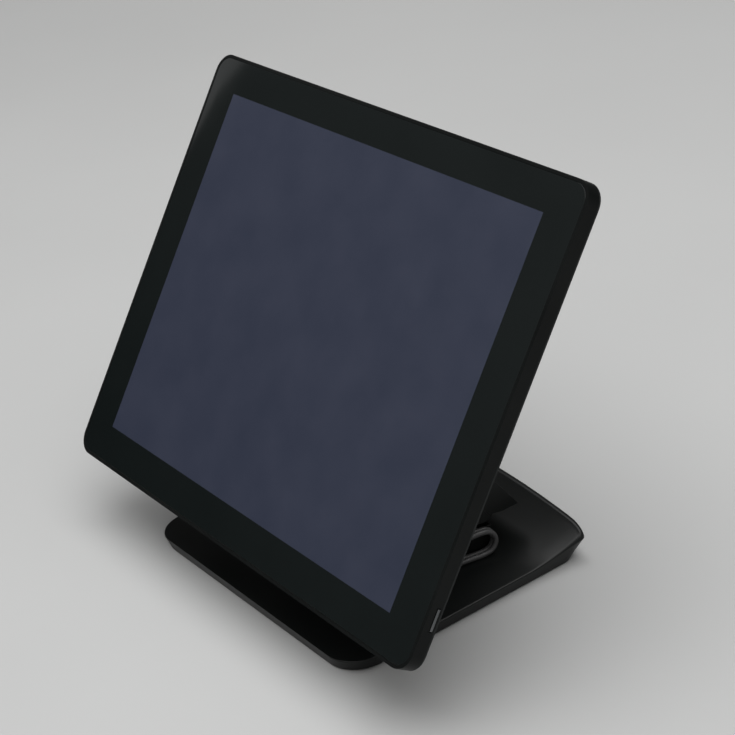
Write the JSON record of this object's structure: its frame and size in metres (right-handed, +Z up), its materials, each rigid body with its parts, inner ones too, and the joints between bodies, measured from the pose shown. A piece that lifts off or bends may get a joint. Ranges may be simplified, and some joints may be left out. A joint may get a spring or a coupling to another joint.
{
  "type": "pos touchscreen terminal",
  "caption": "Countertop touchscreen terminal with a flat glass head on a two-hinge folding neck and a low plate base with a swept rear ridge.",
  "frame": {"origin": "on the counter surface, under the middle of the terminal's outline", "axes": "+X to the right as one faces the screen, +Y to the back, +Z up"},
  "size_m": [0.3603, 0.1887, 0.2709],
  "materials": {
    "base_shell": "fine satin texture",
    "stand_plastic": "satin",
    "rear_plastic": "fine spark texture",
    "head_shell": "satin",
    "touch_glass": "black-bordered glass",
    "lcd_cell": "dark screen",
    "light_guide": "clear sheet",
    "foam_tape": "foam",
    "zinc_steel": "zinc plated",
    "dark_steel": "blackened",
    "rod_steel": "ground",
    "screw_steel": "plated",
    "friction_bronze": "satin",
    "rubber": "matt",
    "circuit_board": "solder mask",
    "socket_metal": "tin plated",
    "black_plastic": "satin",
    "heatsink_aluminium": "extruded",
    "drive_case": "satin",
    "key_aluminium": "satin",
    "lead_jacket": "matt jacket"
  },
  "bodies": {
    "base": {"base_shell": "base_shell", "base_pan": "zinc_steel", "ballast_plate": "dark_steel", "rubber_feet": "rubber", "base_screws": "screw_steel", "hinge_housing": "stand_plastic", "left_base_bracket": "zinc_steel", "right_base_bracket": "zinc_steel", "bracket_screws": "screw_steel", "hub_board": "circuit_board", "usb_sockets": "socket_metal", "dc_inlet": "black_plastic", "cord_gland": "lead_jacket", "cord_lead": "lead_jacket", "cord_hank": "lead_jacket", "cord_tail": "lead_jacket", "cable_tie": "black_plastic", "cord_plug": "lead_jacket"},
    "neck": {"neck_frame": "zinc_steel", "neck_front_cover": "stand_plastic", "neck_rear_cover": "stand_plastic", "neck_screws": "screw_steel", "lower_rod": "rod_steel", "upper_rod": "rod_steel", "lower_nuts": "screw_steel", "upper_nuts": "screw_steel", "lower_washers": "friction_bronze", "upper_washers": "friction_bronze"},
    "head": {"touch_glass": "touch_glass", "glass_tape": "foam_tape", "lcd_cell": "lcd_cell", "light_guide": "light_guide", "lcd_tray": "zinc_steel", "front_frame": "head_shell", "chassis_plate": "zinc_steel", "left_head_bracket": "zinc_steel", "right_head_bracket": "zinc_steel", "head_screws": "screw_steel", "mainboard": "circuit_board", "heatsink": "heatsink_aluminium", "memory_module": "circuit_board", "storage_drive": "drive_case", "power_board": "circuit_board", "speakers": "black_plastic", "rear_cover": "rear_plastic", "service_door": "rear_plastic", "cover_screws": "screw_steel", "key_switch": "circuit_board"},
    "power_key": {"power_key": "key_aluminium"}
  },
  "joints": [
    {"name": "neck_fold", "type": "hinge", "parent": "base", "child": "neck", "pos_m": [0, 0.042, 0.041], "axis": [1, 0, 0], "range_deg": [-25, 0]},
    {"name": "head_tilt", "type": "hinge", "parent": "neck", "child": "head", "pos_m": [0, 0.00542, 0.1036], "axis": [1, 0, 0], "range_deg": [-35, 15]},
    {"name": "key_press", "type": "slide", "parent": "head", "child": "power_key", "axis": [-1, 0, 0], "range_m": [0, 0.0006], "stiffness_N_per_m": 1500}
  ]
}
